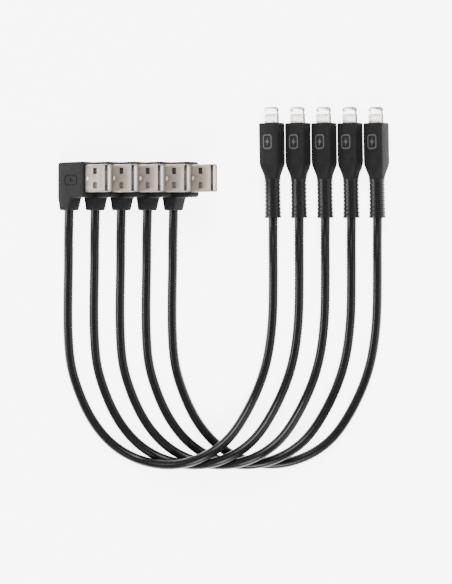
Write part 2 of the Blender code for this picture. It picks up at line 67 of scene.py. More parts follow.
SHELL_CORNER = 0.7 * MM
SHELL_EXPOSED = 11.4 * MM
SHELL_MOUTH = MOULD_FRONT + SHELL_EXPOSED
LATCH_HOLE_LENGTH = 2.4 * MM
LATCH_HOLE_WIDTH = 2.7 * MM
LATCH_HOLE_FROM_MOULD = 5.6 * MM
LATCH_HOLE_SPREAD = 6.2 * MM
TONGUE_THICKNESS = 1.9 * MM
TONGUE_SETBACK = 0.5 * MM
BLOCK_FRONT_FROM_MOULD = 0.6 * MM
CONTACT_TIP_SETBACK = 1.3 * MM
OUTER_CONTACT_LENGTH = 7.4 * MM
INNER_CONTACT_LENGTH = 6.4 * MM
CONTACT_WIDTH = 1.0 * MM
# For each contact, where it lies above the shell's middle line, and its length
CONTACTS = (
    (-3.5 * MM, OUTER_CONTACT_LENGTH),
    (-1.0 * MM, INNER_CONTACT_LENGTH),
    (1.0 * MM, INNER_CONTACT_LENGTH),
    (3.5 * MM, OUTER_CONTACT_LENGTH),
)

# Phone plug
HOUSING_WIDTH = 9.4 * MM
HOUSING_THICKNESS = 7.9 * MM
HOUSING_CORNER = 1.2 * MM
HOUSING_STRAIGHT = 17.0 * MM
HOUSING_TAPER = 7.0 * MM
HOUSING_RIM = 0.5 * MM
SLEEVE_WIDTH = 6.7 * MM
SLEEVE_THICKNESS = 6.5 * MM
SLEEVE_CORNER = 2.9 * MM
SLEEVE_LENGTH = 17.4 * MM
FLARED_RIBS = 3
RIBS = 10
TAB_WIDTH = 6.7 * MM
TAB_THICKNESS = 1.5 * MM
TAB_LENGTH = 7.0 * MM
TAB_TIP_CORNER = 1.4 * MM
DETENT_RADIUS = 0.5 * MM
DETENT_FROM_TIP = 2.4 * MM
HOUSING_FRONT = SLEEVE_LENGTH + GAP + HOUSING_STRAIGHT + HOUSING_TAPER
TAB_TIP = HOUSING_FRONT + TAB_LENGTH

# Cord, as the CAD model lays it: its route over the table from the USB-A plug to the phone plug
CORD_DIAMETER = 4.2 * MM
CORD_ROUTE_MM = (
    (0.0, -0.3),
    (-0.1, -5.0),
    (-0.3, -12.0),
    (-0.4, -22.3),
    (-0.6, -34.3),
    (-0.7, -46.3),
    (-0.4, -57.3),
    (0.8, -68.3),
    (4.0, -79.3),
    (9.3, -90.8),
    (17.15, -101.0),
    (24.5, -106.6),
    (30.85, -109.5),
    (36.8, -111.0),
    (42.75, -111.5),
    (48.7, -111.0),
    (54.55, -109.5),
    (60.8, -106.8),
    (66.0, -103.4),
    (70.7, -99.0),
    (75.3, -92.8),
    (79.6, -85.3),
    (83.9, -75.6),
    (86.8, -65.9),
    (88.5, -55.8),
    (89.4, -44.3),
    (89.6, -33.3),
    (89.6, -22.3),
    (89.5, -13.0),
    (89.5, -8.0),
    (89.5, -3.65),
)
# Shares of the height from the table up to a plug, at the points nearest to it
USB_CLIMB = (1.0, 0.96, 0.53, 0.06)
PHONE_CLIMB = (0.1, 0.63, 0.94, 1.0)
# Heights in cord diameters from point HUMP_START on, where a cord passes over the ones under it.
# HUMPS is by cable, from cable 1 on top of the pile to cable 5, which lies flat
HUMP_START = 11
HIGH_HUMP = (0.52, 0.66, 1.16, 1.80, 2.42, 2.86, 3.00, 2.80, 2.36, 1.70, 1.04, 0.62, 0.51)
LOW_HUMP = (0.52, 0.66, 1.13, 1.53, 1.71, 1.71, 1.58, 1.35, 1.06, 0.78, 0.60, 0.52, 0.50)
HUMPS = (HIGH_HUMP, HIGH_HUMP, HIGH_HUMP, LOW_HUMP, ())

# ---------------------------------------------------------------- details that only the looks have

# USB-A plug
SOCKET_CLEARANCE = 0.08 * MM
SHELL_EDGE = 0.06 * MM
SHELL_SHOWN_BURIED = 4.0 * MM
SHELL_REAR = MOULD_FRONT - SHELL_SHOWN_BURIED
LATCH_HOLE_CORNER = 0.25 * MM
SPRING_WINDOW_FROM_MOULD = 0.9 * MM
SPRING_WINDOW_RADIUS = 1.3 * MM
SPRING_TAB_FROM_MOULD = 0.85 * MM
SPRING_TAB_RADIUS = 0.95 * MM
SPRING_TAB_THICKNESS = 0.25 * MM
SPRING_TAB_LEAN = radians(14)
INSIDE_WIDTH = SHELL_WIDTH - 2 * SHELL_WALL
INSIDE_TOP = SHELL_THICKNESS / 2 - SHELL_WALL
TONGUE_CLEARANCE = 0.05 * MM
TONGUE_PLAY = 0.2 * MM
TONGUE_FLOOR = TONGUE_CLEARANCE - INSIDE_TOP
TONGUE_TOP = TONGUE_FLOOR + TONGUE_THICKNESS
TONGUE_TIP = SHELL_MOUTH - TONGUE_SETBACK
TONGUE_CHAMFER_LENGTH = 0.25 * MM
TONGUE_CHAMFER_DEPTH = 0.2 * MM
TONGUE_EDGE = 0.08 * MM
BLOCK_FRONT = MOULD_FRONT + BLOCK_FRONT_FROM_MOULD
GROOVE_PLAY = 0.2 * MM
GROOVE_WIDTH = 1.2 * MM
GROOVE_DEPTH = 0.25 * MM
STRIP_THICKNESS = 0.2 * MM
CONTACTS_BACK = SHELL_MOUTH - CONTACT_TIP_SETBACK - OUTER_CONTACT_LENGTH
# A contact's upper side: shares of its length from the back, and heights above the tongue
CONTACT_PROFILE = ((0, 0.02 * MM), (0.75, 0.12 * MM), (0.9, 0.08 * MM), (1, -0.15 * MM))
# The plate on the tongue is painted shade: its brown stands for the shade in the gap over the tongue.
GAP_SHADE_BACK = MOULD_FRONT + 0.7 * MM
GAP_SHADE_FRONT = SHELL_MOUTH - 0.47 * MM
GAP_SHADE_RAISED = 0.08 * MM
GAP_SHADE_THICKNESS = 0.5 * MM
# The dark plates at the outer contacts' slots are painted shade.
SLOT_FRONT = SHELL_MOUTH - 0.45 * MM
SLOT_LENGTH = 2.0 * MM
SLOT_RAISED = 0.1 * MM
SLOT_THICKNESS = 0.4 * MM
# For each slot, where it lies above the shell's middle line, and its width
SLOTS = ((4.2 * MM, 2.2 * MM), (-3.6 * MM, 1.3 * MM))
# A plate under each latch hole, coloured with painted shade: lighter under the lower hole, darker under the
# upper one.
HOLE_PAD_LENGTH = LATCH_HOLE_LENGTH + 1.2 * MM
HOLE_PAD_WIDTH = LATCH_HOLE_WIDTH + 0.5 * MM
HOLE_PAD_THICKNESS = 1.4 * MM
HOLE_PAD_TOP = INSIDE_TOP - 0.25 * MM
HOLE_PAD_X = MOULD_FRONT + LATCH_HOLE_FROM_MOULD - 0.5 * MM

# Phone plug
HOUSING_LIP = 0.04 * MM
HOUSING_OVERLAP = 0.4 * MM
TAPER_STEPS = 18
RIM_STEPS = 4
POCKET_CLEARANCE = 0.08 * MM
POCKET_CORNER = 0.75 * MM
TAB_BURIED = 2.0 * MM
# A rib and the groove after it: shares of the pitch, and depths in millimetres under the rib's top
RIB_PROFILE = ((0.0, 0.2), (0.03, 0.0), (0.62, 0.0), (0.65, 0.2))
SLEEVE_FLARE_MM = 0.2
TAB_BASE_CORNER = 0.1 * MM
TAB_EDGE = 0.28 * MM
# The window is drawn a little wider and longer than the CAD model's, as its insert hides the rails
WINDOW_RAIL = 0.32 * MM
WINDOW_WIDTH = TAB_WIDTH - 2 * WINDOW_RAIL
WINDOW_LENGTH = 3.8 * MM
WINDOW_FROM_TIP = 3.1 * MM
WINDOW_MIDDLE = TAB_TIP - WINDOW_FROM_TIP - WINDOW_LENGTH / 2
WINDOW_CORNER = 0.35 * MM
INSERT_PLAY = 0.04 * MM
INSERT_CORNER = 0.33 * MM
INSERT_THICKNESS = TAB_THICKNESS - 0.06 * MM
PADS = 8
PAD_PITCH = WINDOW_WIDTH / 8.2
PAD_WIDTH = 0.84 * PAD_PITCH
PAD_LENGTH = 0.92 * WINDOW_LENGTH
PAD_CORNER = 0.12 * MM
PAD_THICKNESS = TAB_THICKNESS - 0.01 * MM

# Rounding of small parts
PLATE_EDGE = 0.03 * MM
STRIP_EDGE = 0.04 * MM
PAD_EDGE = 0.02 * MM

# Plain sign in place of the real marks: a bolt in a rounded frame. Each outline is width, height, corner
BOLT = ((0.45, 2.0), (-1.05, -0.35), (-0.1, -0.35), (-0.45, -2.0), (1.05, 0.35), (0.1, 0.35))
SUNK_OUTLINES = ((7.6 * MM, 4.6 * MM, 1.5 * MM), (6.6 * MM, 3.6 * MM, 1.0 * MM))
SUNK_BOLT = 0.9 * MM
SUNK_DEPTH = 0.3 * MM
SUNK_MIDDLE = (4.4 * MM, SHELL_MIDDLE - 0.6 * MM)
CUTTER_HEIGHT = 1.0 * MM
PRINTED_OUTLINES = ((4.5 * MM, 6.4 * MM, 1.3 * MM), (3.4 * MM, 5.3 * MM, 0.8 * MM))
PRINTED_BOLT = 1.0 * MM
PRINTED_MIDDLE = HOUSING_FRONT - 8.3 * MM
INK_THICKNESS = 0.04 * MM
INK_BASE = HOUSING_THICKNESS / 2 - 0.01 * MM

# Cord
CORD_POINTS = 150
CORD_INSET = 2.0 * MM

# Camera: straight above the cables, looking down
IMAGE_HEIGHT = 584
CAMERA_PLACE = (0.8 * MM, -56.8 * MM, 1.3)
PIXELS_PER_METRE_AT_FLOOR = 2270
SENSOR = 36

# Surround: its light at the horizon and overhead, and the heights between which it changes
HORIZON = 0.75
OVERHEAD = 0.2
HORIZON_TOP = 0.05
OVERHEAD_START = 0.6

# Floor
FLOOR_HALF_WIDTH = 3
FLOOR_DROP = 0.02 * MM
FLOOR_GLOW = 5.5

# Noise values between which a colour, and a number, runs from its low to its high end
COLOUR_SPAN = (0.35, 0.65)
NUMBER_SPAN = (0.3, 0.7)
# Upward part of a face's direction, from where it leaves the edge colour, which is painted shade, to where
# it is all face
FACE_SPAN = (0.75, 0.98)

# ---------------------------------------------------------------- shape helpers


def arc(centre_x, centre_y, radius, start, end, steps):
    angles = [start + (end - start) * i / steps for i in range(steps + 1)]
    return [(centre_x + radius * cos(a), centre_y + radius * sin(a)) for a in angles]


def circle(x, y, radius, sides=24):
    return arc(x, y, radius, 0, 2 * pi * (sides - 1) / sides, sides - 1)


def half_round(x, y, radius):
    """Half a disc to the right of its straight side at x."""
    return arc(x, y, radius, -pi / 2, pi / 2, 14)


def moved(outline, x, y):
    return [(a + x, b + y) for a, b in outline]


def along_x(outline, x):
    return [(x, a, b) for a, b in outline]


def along_y(outline, y):
    return [(a, y, b) for a, b in outline]


def rounded_rectangle(width, thickness, corner, steps=6):
    """Outline of a rectangle with round corners, centred on the origin, anticlockwise."""
    x = width / 2 - corner
    y = thickness / 2 - corner
    points = []
    for quarter, (centre_x, centre_y) in enumerate(((x, y), (-x, y), (-x, -y), (x, -y))):
        start = quarter * pi / 2
        points += arc(centre_x, centre_y, corner, start, start + pi / 2, steps)
    return points


def rounded_outline(corners, steps=6):
    """Turns (x, y, radius) corners into an outline with an arc of that radius at each corner."""
    points = []
    for i, (x, y, radius) in enumerate(corners):
        here = Vector((x, y))
        back = (Vector(corners[i - 1][:2]) - here).normalized()
        ahead = (Vector(corners[(i + 1) % len(corners)][:2]) - here).normalized()
        half_angle = back.angle(ahead) / 2
        centre = here + (back + ahead).normalized() * radius / sin(half_angle)
        first = here + back * radius / tan(half_angle) - centre
        side = 1 if back.cross(ahead) < 0 else -1
        start = np.arctan2(first.y, first.x)
        sweep = side * (pi - 2 * half_angle)
        points += arc(centre.x, centre.y, radius, start, start + sweep, steps)
    return points


def finished(name, shape):
    """Turns the faces outwards and stores the shape as a mesh."""
    bmesh.ops.recalc_face_normals(shape, faces=shape.faces)
    mesh = bpy.data.meshes.new(name)
    shape.to_mesh(mesh)
    shape.free()
    return mesh


def loft(name, rings):
    """A closed skin through rings of equally many points, with a flat cap at each end."""
    shape = bmesh.new()
    loops = [[shape.verts.new(point) for point in ring] for ring in rings]
    count = len(loops[0])
    for low, high in zip(loops, loops[1:]):
        for i in range(count):
            j = (i + 1) % count
            shape.faces.new((low[i], low[j], high[j], high[i]))
    shape.faces.new(reversed(loops[0]))
    shape.faces.new(loops[-1])
    return finished(name, shape)


def slab(name, outline, thickness, base=None):
    """A flat outline in the XY plane with a thickness, centred on Z = 0 or standing on base."""
    shape = bmesh.new()
    low = -thickness / 2 if base is None else base
    face = shape.faces.new([shape.verts.new((x, y, low)) for x, y in outline])
    grown = bmesh.ops.extrude_face_region(shape, geom=[face])["geom"]
    raised = [part for part in grown if isinstance(part, bmesh.types.BMVert)]
    bmesh.ops.translate(shape, verts=raised, vec=(0, 0, thickness))
    return finished(name, shape)


def upright_slab(name, outline, thickness, y):
    """A slab whose outline lies in the XZ plane, centred on y."""
    made = slab(name, outline, thickness)
    made.transform(Matrix.Translation((0, y, 0)) @ Matrix.Rotation(pi / 2, 4, "X"))
    return made


def box(name, size, centre):
    shape = bmesh.new()
    sized = Matrix.Translation(centre) @ Matrix.Diagonal((*size, 1))
    bmesh.ops.create_cube(shape, size=1, matrix=sized)
    return finished(name, shape)


def plate_under(top, length, width, thickness, x, y):
    """A box whose upper face is at the top height and centred on x and y."""
    return box("plate", (length, width, thickness), (x, y, top - thickness / 2))


def joined(name, meshes):
    """Several meshes as one."""
    shape = bmesh.new()
    for mesh in meshes:
        shape.from_mesh(mesh)
    return finished(name, shape)


def in_scene(mesh):
    thing = bpy.data.objects.new(mesh.name, mesh)
    bpy.context.scene.collection.objects.link(thing)
    return thing


def applied(thing):
    """The thing's mesh with its modifiers applied."""
    bpy.context.view_layer.update()
    graph = bpy.context.evaluated_depsgraph_get()
    return bpy.data.meshes.new_from_object(thing.evaluated_get(graph))


def round_edges(mesh, radius, segments=2, angle=40):
    """Rounds every edge that is sharper than the angle in degrees."""
    thing = in_scene(mesh)
    bevel = thing.modifiers.new("bevel", "BEVEL")
    bevel.width = radius
    bevel.segments = segments
    bevel.limit_method = "ANGLE"
    bevel.angle_limit = radians(angle)
    bevel.use_clamp_overlap = True
    result = applied(thing)
    bpy.data.objects.remove(thing)
    return result


def cut(mesh, cutters):
    """The mesh with the cutters taken out of it."""
    base = in_scene(mesh)
    helpers = [in_scene(cutter) for cutter in cutters]
    for helper in helpers:
        modifier = base.modifiers.new(helper.name, "BOOLEAN")
        modifier.operation = "DIFFERENCE"
        modifier.object = helper
    result = applied(base)
    for thing in (base, *helpers):
        bpy.data.objects.remove(thing)
    return result


# ---------------------------------------------------------------- materials


def shader_of(material):
    return material.node_tree.nodes["Principled BSDF"]


def principled(name, colour, roughness, metallic=0.0, specular=0.5):
    made = bpy.data.materials.new(name)
    made.use_nodes = True
    shader = shader_of(made)
    shader.inputs["Base Color"].default_value = (*colour, 1)
    shader.inputs["Roughness"].default_value = roughness
    shader.inputs["Metallic"].default_value = metallic
    shader.inputs["Specular IOR Level"].default_value = specular
    return made


def node(material, kind):
    return material.node_tree.nodes.new(kind)


def link(material, source, target):
    material.node_tree.links.new(source, target)


def object_noise(material, scale, detail=3.0, stretch=(1, 1, 1)):
    """Noise in the piece's own coordinates, stretched along its axes."""
    coordinates = node(material, "ShaderNodeTexCoord")
    mapping = node(material, "ShaderNodeMapping")
    mapping.inputs["Scale"].default_value = stretch
    noise = node(material, "ShaderNodeTexNoise")
    noise.inputs["Scale"].default_value = scale
    noise.inputs["Detail"].default_value = detail
    link(material, coordinates.outputs["Object"], mapping.inputs["Vector"])
    link(material, mapping.outputs["Vector"], noise.inputs["Vector"])
    return noise.outputs["Fac"]


def add_bump(material, heights, depth):
    """Fine relief, from the noise that is given as heights."""
    bump = node(material, "ShaderNodeBump")
    bump.inputs["Distance"].default_value = depth
    link(material, heights, bump.inputs["Height"])
    link(material, bump.outputs["Normal"], shader_of(material).inputs["Normal"])


def colour_ramp(material, amount, span, low, high):
    """Lets the base colour run from low to high while the amount crosses the span."""
    ramp = node(material, "ShaderNodeValToRGB")
    for element, position, colour in zip(ramp.color_ramp.elements, span, (low, high)):
        element.position = position
        element.color = (*colour, 1)
    link(material, amount, ramp.inputs["Fac"])
    link(material, ramp.outputs["Color"], shader_of(material).inputs["Base Color"])


def vary_colour(material, noise, low, high):
    colour_ramp(material, noise, COLOUR_SPAN, low, high)


def vary_roughness(material, noise, low, high):
    spread = node(material, "ShaderNodeMapRange")
    spread.inputs["From Min"].default_value, spread.inputs["From Max"].default_value = NUMBER_SPAN
    spread.inputs["To Min"].default_value = low
    spread.inputs["To Max"].default_value = high
    link(material, noise, spread.inputs["Value"])
    link(material, spread.outputs["Result"], shader_of(material).inputs["Roughness"])


def edge_shade_by_face(material, wide, narrow):
    """Gives the faces across the thickness one colour and the narrow edges another: painted shade on the
    edges.
    """
    coordinates = node(material, "ShaderNodeTexCoord")
    split = node(material, "ShaderNodeSeparateXYZ")
    upright = node(material, "ShaderNodeMath")
    upright.operation = "ABSOLUTE"
    link(material, coordinates.outputs["Normal"], split.inputs["Vector"])
    link(material, split.outputs["Z"], upright.inputs[0])
    colour_ramp(material, upright.outputs["Value"], FACE_SPAN, narrow, wide)


def moulded_black():
    """Fine spark-eroded texture of the two plugs' mouldings."""
    made = principled("moulded_black", (0.0092, 0.0092, 0.0092), roughness=0.6, specular=0.09)
    vary_colour(made, object_noise(made, scale=260), (0.0082, 0.008, 0.0081), (0.0104, 0.0101, 0.0103))
    vary_roughness(made, object_noise(made, scale=900), 0.55, 0.68)
    add_bump(made, object_noise(made, scale=5200, detail=4.0), depth=0.02 * MM)
    return made


def sleeve_black():
    """The ribbed sleeve is a softer, shinier compound than the housing."""
    made = principled("sleeve_black", (0.009, 0.009, 0.009), roughness=0.3, specular=0.16)
    vary_roughness(made, object_noise(made, scale=900), 0.27, 0.33)
    add_bump(made, object_noise(made, scale=4200, detail=4.0), depth=0.004 * MM)
    return made


def jacket_black():
    """Smooth extruded jacket, faintly mottled."""
    made = principled("jacket_black", (0.007, 0.0067, 0.0068), roughness=0.3, specular=0.2)
    mottle = object_noise(made, scale=150)
    vary_colour(made, mottle, (0.0064, 0.0061, 0.0062), (0.0078, 0.0075, 0.0076))
    vary_roughness(made, object_noise(made, scale=420), 0.26, 0.33)
    add_bump(made, object_noise(made, scale=2600), depth=0.004 * MM)
    return made


def sheet_nickel():
    """Nickel-plated sheet steel, drawn lengthwise."""
    made = principled("sheet_nickel", (0.235, 0.197, 0.165), roughness=0.38, metallic=0.25)
    grain = object_noise(made, scale=2400, detail=4.0, stretch=(0.12, 1, 1))
    vary_colour(made, object_noise(made, scale=380), (0.22, 0.184, 0.154), (0.25, 0.21, 0.177))
    vary_roughness(made, grain, 0.32, 0.44)
    add_bump(made, grain, depth=0.003 * MM)
    return made


def painted_glint_nickel():
    """The pressed tabs, painted far brighter than the sheet round them as a painted highlight on the bent
    tabs.
    """
    made = principled("painted_glint_nickel", (0.95, 0.94, 0.92), roughness=0.3, metallic=0.5)
    grain = object_noise(made, scale=3600, detail=4.0, stretch=(0.2, 1, 1))
    vary_roughness(made, grain, 0.24, 0.36)
    add_bump(made, grain, depth=0.004 * MM)
    return made


def bright_nickel():
    """Polished tab of the phone plug, with painted shade along its narrow edges."""
    face = (0.44, 0.425, 0.42)
    made = principled("bright_nickel", face, roughness=0.24, metallic=1.0)
    # The dark colour of the narrow edges is painted shade.
    edge_shade_by_face(made, wide=face, narrow=(0.08, 0.077, 0.075))
    grain = object_noise(made, scale=2600, stretch=(1, 0.15, 1))
    vary_roughness(made, grain, 0.17, 0.27)
    add_bump(made, grain, depth=0.004 * MM)
    return made


def white_plastic():
    made = principled("white_plastic", (0.82, 0.81, 0.79), roughness=0.38)
    vary_colour(made, object_noise(made, scale=500), (0.79, 0.78, 0.76), (0.84, 0.83, 0.81))
    add_bump(made, object_noise(made, scale=3200), depth=0.006 * MM)
    return made


# Dark plastic colour for painted shade in the USB-A plug, with a little random tone.
def shade_plastic(name, colour):
    made = principled(name, colour, roughness=0.6, specular=0.2)
    darker = tuple(0.8 * part for part in colour)
    vary_colour(made, object_noise(made, scale=900), darker, colour)
    add_bump(made, object_noise(made, scale=3200), depth=0.01 * MM)
    return made


def gold_plate():
    made = principled("gold_plate", (0.5, 0.36, 0.17), roughness=0.3, metallic=1.0)
    grain = object_noise(made, scale=4200, stretch=(0.2, 1, 1))
    vary_roughness(made, grain, 0.25, 0.38)
    add_bump(made, grain, depth=0.003 * MM)
    return made


def pale_gold():
    """Thin gold on the phone plug's pads, which reads as cream."""
    made = principled("pale_gold", (0.95, 0.87, 0.78), roughness=0.3, metallic=0.9)
    grain = object_noise(made, scale=4200, stretch=(1, 0.2, 1))
    vary_roughness(made, grain, 0.25, 0.36)
    add_bump(made, grain, depth=0.003 * MM)
    return made


def printed_grey():
    made = principled("printed_grey", (0.05, 0.05, 0.056), roughness=0.5, specular=0.2)
    vary_colour(made, object_noise(made, scale=1500), (0.044, 0.044, 0.05), (0.056, 0.056, 0.062))
    add_bump(made, object_noise(made, scale=5200), depth=0.008 * MM)
    return made


# ---------------------------------------------------------------- plain sign


def framed_bolt(outlines, thickness, base, bolt_size):
    """A rounded frame, and a lightning bolt to stand in it, both raised from the base height."""
    outer, inner = (rounded_rectangle(*outline) for outline in outlines)
    opening = slab("inside", inner, 3 * CUTTER_HEIGHT, base - CUTTER_HEIGHT)
    surround = cut(slab("frame", outer, thickness, base), (opening,))
    bolt = slab("bolt", [(x * bolt_size, y * bolt_size) for x, y in BOLT], thickness, base)
    return surround, bolt


# ---------------------------------------------------------------- USB-A plug pieces
# The plug's own frame: X is the way it goes in, Y is up the page of its wide face, Z is across its
# thickness. The origin is where the cord meets the neck.


def overmould_shape():
    corners = (
        (-NECK_END_WIDTH / 2, 0, NECK_CORNER),
        (NECK_END_WIDTH / 2, 0, NECK_CORNER),
        (NECK_ROOT_WIDTH - HEEL_TO_CORD, NECK_LENGTH, NECK_FILLET),
        (MOULD_FRONT, NECK_LENGTH, MOULD_CORNER),
        (MOULD_FRONT, MOULD_TOP, MOULD_CORNER),
        (-HEEL_TO_CORD, MOULD_TOP, MOULD_CORNER),
        (-HEEL_TO_CORD, NECK_LENGTH, MOULD_CORNER),
    )
    body = slab("usb_overmould_look", rounded_outline(corners), MOULD_THICKNESS)
    body = round_edges(body, MOULD_EDGE, segments=5, angle=60)
    socket = shell_tube("socket", SOCKET_CLEARANCE, SHELL_REAR - GAP, MOULD_FRONT + GAP)
    return cut(body, (socket, *sunk_sign()))


def sunk_sign():
    """Cutters that sink the plain sign in the wide face, with the bolt lying on its side."""
    base = MOULD_THICKNESS / 2 - SUNK_DEPTH
    surround, bolt = framed_bolt(SUNK_OUTLINES, CUTTER_HEIGHT, base, SUNK_BOLT)
    bolt.transform(Matrix.Rotation(-pi / 2, 4, "Z"))
    for cutter in (surround, bolt):
        cutter.transform(Matrix.Translation((*SUNK_MIDDLE, 0)))
    return surround, bolt


def shell_tube(name, outset, back, front):
    """A solid bar of the shell's section, grown on every side by the outset."""
    width = SHELL_WIDTH + 2 * outset
    thickness = SHELL_THICKNESS + 2 * outset
    section = moved(rounded_rectangle(width, thickness, SHELL_CORNER + outset), SHELL_MIDDLE, 0)
    return loft(name, (along_x(section, back), along_x(section, front)))


def shell_shape():
    outside = shell_tube("usb_shell_look", 0, SHELL_REAR, SHELL_MOUTH)
    bore = shell_tube("bore", -SHELL_WALL, SHELL_REAR - GAP, SHELL_MOUTH + GAP)
    hole = rounded_rectangle(LATCH_HOLE_LENGTH, LATCH_HOLE_WIDTH, LATCH_HOLE_CORNER, steps=3)
    holes = []
    for side in (-1, 1):
        middle = SHELL_MIDDLE + side * LATCH_HOLE_SPREAD / 2
        placed = moved(hole, MOULD_FRONT + LATCH_HOLE_FROM_MOULD, middle)
        holes.append(slab("hole", placed, 3 * SHELL_THICKNESS))
    return round_edges(cut(outside, (bore, *holes, *spring_windows())), SHELL_EDGE)


def spring_windows():
    """Half-round slots near the root, one on each wide face, round the tab that is pressed in."""
    outline = half_round(MOULD_FRONT + SPRING_WINDOW_FROM_MOULD, SHELL_MIDDLE, SPRING_WINDOW_RADIUS)
    windows = []
    for side in (-1, 1):
        window = slab("window", outline, SHELL_THICKNESS)
        window.transform(Matrix.Translation((0, 0, side * (SHELL_THICKNESS / 2 + GAP))))
        windows.append(window)
    return windows


def spring_tabs_shape():
    """The half-round tabs, bent inwards about their straight side."""
    tabs = []
    for side in (-1, 1):
        tab = slab("tab", half_round(0, 0, SPRING_TAB_RADIUS), SPRING_TAB_THICKNESS)
        lean = Matrix.Rotation(side * SPRING_TAB_LEAN, 4, "Y")
        height = side * (SHELL_THICKNESS / 2 - SHELL_WALL / 2)
        middle = (MOULD_FRONT + SPRING_TAB_FROM_MOULD, SHELL_MIDDLE, height)
        tab.transform(Matrix.Translation(middle) @ lean)
        tabs.append(tab)
    return round_edges(joined("usb_spring_tabs", tabs), STRIP_EDGE)


def tongue_shape():
    """Insulator block in the back of the shell, and the tongue with a groove for each contact."""
    rear = SHELL_REAR + GAP
    ceiling = INSIDE_TOP - TONGUE_CLEARANCE
    profile = (
        (rear, TONGUE_FLOOR),
        (TONGUE_TIP, TONGUE_FLOOR),
        (TONGUE_TIP, TONGUE_TOP - TONGUE_CHAMFER_DEPTH),
        (TONGUE_TIP - TONGUE_CHAMFER_LENGTH, TONGUE_TOP),
        (BLOCK_FRONT, TONGUE_TOP),
        (BLOCK_FRONT, ceiling),
        (rear, ceiling),
    )
    solid = upright_slab("usb_tongue_look", profile, INSIDE_WIDTH - TONGUE_PLAY, SHELL_MIDDLE)
    grooves = []
    for offset, length in CONTACTS:
        middle = (CONTACTS_BACK + length / 2, SHELL_MIDDLE + offset, TONGUE_TOP)
        grooves.append(box("groove", (length + GROOVE_PLAY, GROOVE_WIDTH, 2 * GROOVE_DEPTH), middle))
    return round_edges(cut(solid, grooves), TONGUE_EDGE)


def gap_shade_shape():
    """Brown plate on the tongue, which the contacts lie in; the white plastic shows ahead of it. Its brown
    is painted shade for the gap over the tongue, and the painted shade under the lower latch hole is joined
    to it.
    """
    plate = plate_under(
        TONGUE_TOP + GAP_SHADE_RAISED,
        GAP_SHADE_FRONT - GAP_SHADE_BACK,
        INSIDE_WIDTH - 2 * TONGUE_PLAY,
        GAP_SHADE_THICKNESS,
        (GAP_SHADE_FRONT + GAP_SHADE_BACK) / 2,
        SHELL_MIDDLE,
    )
    return round_edges(joined("contact_carrier", (plate, hole_pad(-1))), PLATE_EDGE)


def hole_pad(side):
    """Raised pad close under the lower or the upper latch hole, which is what shows through it; its colour
    is painted shade.
    """
    y = SHELL_MIDDLE + side * LATCH_HOLE_SPREAD / 2
    return plate_under(HOLE_PAD_TOP, HOLE_PAD_LENGTH, HOLE_PAD_WIDTH, HOLE_PAD_THICKNESS, HOLE_PAD_X, y)


# The painted shade under the upper latch hole.
def upper_hole_shade_shape():
    return round_edges(joined("upper_hole_pad", (hole_pad(1),)), PLATE_EDGE)


def slot_shade_shape():
    """Dark plates at the ends of the two outer contacts' slots, which are painted shade in the slots."""
    top = TONGUE_TOP + SLOT_RAISED
    x = SLOT_FRONT - SLOT_LENGTH / 2
    slots = [plate_under(top, SLOT_LENGTH, width, SLOT_THICKNESS, x, SHELL_MIDDLE + y) for y, width in SLOTS]
    return round_edges(joined("contact_slots", slots), PLATE_EDGE)


def contact_shape(offset, length):
    """A spring strip, dipped at its tip, lying a little proud of the tongue."""
    upper = [(CONTACTS_BACK + share * length, TONGUE_TOP + height) for share, height in CONTACT_PROFILE]
    lower = [(x, z - STRIP_THICKNESS) for x, z in reversed(upper)]
    strip = upright_slab("usb_contact_look", upper + lower, CONTACT_WIDTH, SHELL_MIDDLE + offset)
    return round_edges(strip, STRIP_EDGE, angle=25)


# ---------------------------------------------------------------- phone plug pieces
# The plug's own frame: Y is the way it goes in, X is across its width and Z across its thickness.
# The origin is where the cord meets the sleeve.


def housing_ring(y, width, thickness, corner):
    return along_y(rounded_rectangle(width, thickness, corner), y)


def taper_rings():
    """Sections from the sleeve's width up to the housing's, eased at both ends."""
    back = SLEEVE_LENGTH - HOUSING_OVERLAP
    shoulder = HOUSING_FRONT - HOUSING_STRAIGHT
    back_width = SLEEVE_WIDTH + HOUSING_LIP
    back_thickness = SLEEVE_THICKNESS + HOUSING_LIP
    rings = []
    for i in range(TAPER_STEPS + 1):
        share = i / TAPER_STEPS
        ease = share * share * (3 - 2 * share)
        width = back_width + (HOUSING_WIDTH - back_width) * ease
        thickness = back_thickness + (HOUSING_THICKNESS - back_thickness) * ease
        corner = SLEEVE_CORNER + (HOUSING_CORNER - SLEEVE_CORNER) * ease
        rings.append(housing_ring(back + (shoulder - back) * share, width, thickness, corner))
    return rings


def rim_rings():
    """Sections round the rim at the housing's front."""
    rings = []
    for i in range(RIM_STEPS + 1):
        angle = pi / 2 * i / RIM_STEPS
        inset = HOUSING_RIM * (1 - cos(angle))
        y = HOUSING_FRONT - HOUSING_RIM * (1 - sin(angle))
        width = HOUSING_WIDTH - 2 * inset
        thickness = HOUSING_THICKNESS - 2 * inset
        rings.append(housing_ring(y, width, thickness, HOUSING_CORNER - inset))
    return rings


def housing_shape():
    solid = loft("phone_plug_housing_look", taper_rings() + rim_rings())
    mouth = rounded_rectangle(
        TAB_WIDTH + 2 * POCKET_CLEARANCE, TAB_THICKNESS + 2 * POCKET_CLEARANCE, POCKET_CORNER
    )
    ends = (HOUSING_FRONT - TAB_BURIED, HOUSING_FRONT + TAB_BURIED)
    return cut(solid, (loft("pocket", [along_y(mouth, y) for y in ends]),))


